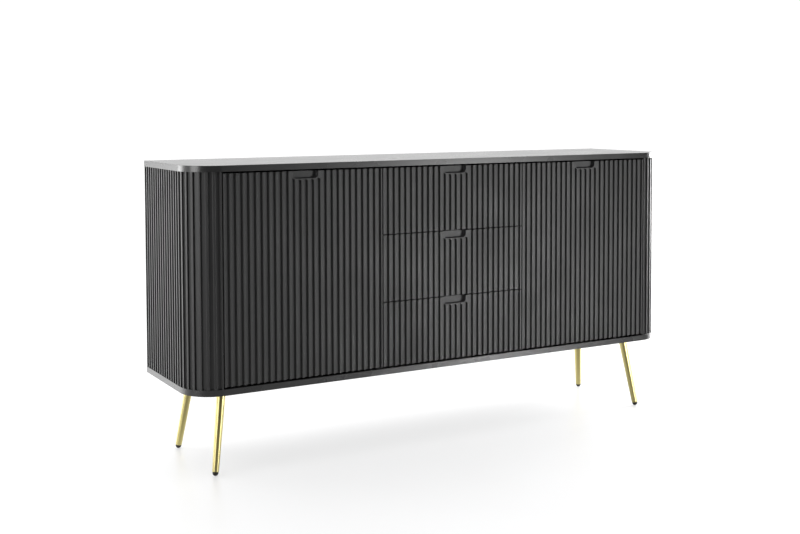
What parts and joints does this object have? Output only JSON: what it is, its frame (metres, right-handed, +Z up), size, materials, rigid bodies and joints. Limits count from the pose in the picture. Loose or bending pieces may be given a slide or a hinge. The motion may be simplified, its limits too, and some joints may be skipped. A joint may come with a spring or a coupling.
{
  "type": "sideboard buffet",
  "caption": "Low sideboard with fluted fronts that wrap round its front corners, hinged doors each side of a bank of drawers, milled finger pockets and splayed metal legs.",
  "frame": {"origin": "centre of the footprint, on the floor", "axes": "+Z up, fronts face -Y, +X along the width, towards the right as seen from the front"},
  "size_m": [1.54, 0.36, 0.792],
  "materials": {
    "panel_lacquer": "satin black lacquer on board",
    "flute_lacquer": "satin black lacquer on milled board",
    "inner_board": "matt black melamine board",
    "back_board": "matt black hardboard",
    "gold_plate": "polished pale gold plating",
    "foot_plastic": "moulded black plastic",
    "zinc_steel": "zinc-plated steel sheet",
    "nickel_steel": "nickel-plated steel",
    "clear_rubber": "soft clear dots"
  },
  "bodies": {
    "root": {"top_panel": "panel_lacquer", "bottom_panel": "panel_lacquer", "left_corner_panel": "flute_lacquer", "right_corner_panel": "flute_lacquer", "left_inner_side": "inner_board", "right_inner_side": "inner_board", "left_partition": "inner_board", "right_partition": "inner_board", "left_back_panel": "back_board", "centre_back_panel": "back_board", "right_back_panel": "back_board", "left_shelf": "inner_board", "right_shelf": "inner_board", "shelf_pins": "nickel_steel", "cam_fittings": "nickel_steel", "front_left_leg": "gold_plate", "front_right_leg": "gold_plate", "rear_left_leg": "gold_plate", "rear_right_leg": "gold_plate", "front_left_foot": "foot_plastic", "front_right_foot": "foot_plastic", "rear_left_foot": "foot_plastic", "rear_right_foot": "foot_plastic", "leg_plates": "nickel_steel", "leg_screws": "nickel_steel", "left_hinge_arms": "nickel_steel", "right_hinge_arms": "nickel_steel", "lower_fixed_runners": "zinc_steel", "middle_fixed_runners": "zinc_steel", "upper_fixed_runners": "zinc_steel"},
    "left_door_leaf": {"left_door": "flute_lacquer", "left_hinge_brackets": "nickel_steel", "left_hinge_pins": "nickel_steel", "left_bumpers": "clear_rubber"},
    "right_door_leaf": {"right_door": "flute_lacquer", "right_hinge_brackets": "nickel_steel", "right_hinge_pins": "nickel_steel", "right_bumpers": "clear_rubber"},
    "lower_drawer": {"lower_drawer_front": "flute_lacquer", "lower_drawer_left_side": "inner_board", "lower_drawer_right_side": "inner_board", "lower_drawer_back": "inner_board", "lower_drawer_bottom": "back_board", "lower_drawer_runners": "zinc_steel"},
    "lower_runner_middles": {"lower_middle_runners": "zinc_steel"},
    "middle_drawer": {"middle_drawer_front": "flute_lacquer", "middle_drawer_left_side": "inner_board", "middle_drawer_right_side": "inner_board", "middle_drawer_back": "inner_board", "middle_drawer_bottom": "back_board", "middle_drawer_runners": "zinc_steel"},
    "middle_runner_middles": {"middle_middle_runners": "zinc_steel"},
    "upper_drawer": {"upper_drawer_front": "flute_lacquer", "upper_drawer_left_side": "inner_board", "upper_drawer_right_side": "inner_board", "upper_drawer_back": "inner_board", "upper_drawer_bottom": "back_board", "upper_drawer_runners": "zinc_steel"},
    "upper_runner_middles": {"upper_middle_runners": "zinc_steel"}
  },
  "joints": [
    {"name": "left_door_hinge", "type": "hinge", "parent": "root", "child": "left_door_leaf", "pos_m": [-0.6595, -0.1675, 0.5025], "axis": [0, 0, -1], "range_deg": [0, 95]},
    {"name": "right_door_hinge", "type": "hinge", "parent": "root", "child": "right_door_leaf", "pos_m": [0.6595, -0.1675, 0.5025], "axis": [0, 0, 1], "range_deg": [0, 95]},
    {"name": "lower_drawer_slide", "type": "slide", "parent": "root", "child": "lower_drawer", "axis": [0, -1, 0], "range_m": [0, 0.28]},
    {"name": "lower_runner_slide", "type": "slide", "parent": "root", "child": "lower_runner_middles", "axis": [0, -1, 0], "range_m": [0, 0.14]},
    {"name": "middle_drawer_slide", "type": "slide", "parent": "root", "child": "middle_drawer", "axis": [0, -1, 0], "range_m": [0, 0.28]},
    {"name": "middle_runner_slide", "type": "slide", "parent": "root", "child": "middle_runner_middles", "axis": [0, -1, 0], "range_m": [0, 0.14]},
    {"name": "upper_drawer_slide", "type": "slide", "parent": "root", "child": "upper_drawer", "axis": [0, -1, 0], "range_m": [0, 0.28]},
    {"name": "upper_runner_slide", "type": "slide", "parent": "root", "child": "upper_runner_middles", "axis": [0, -1, 0], "range_m": [0, 0.14]}
  ],
  "couplings": [
    {"joint": "lower_runner_slide", "follows": "lower_drawer_slide", "ratio": 0.5},
    {"joint": "middle_runner_slide", "follows": "middle_drawer_slide", "ratio": 0.5},
    {"joint": "upper_runner_slide", "follows": "upper_drawer_slide", "ratio": 0.5}
  ]
}
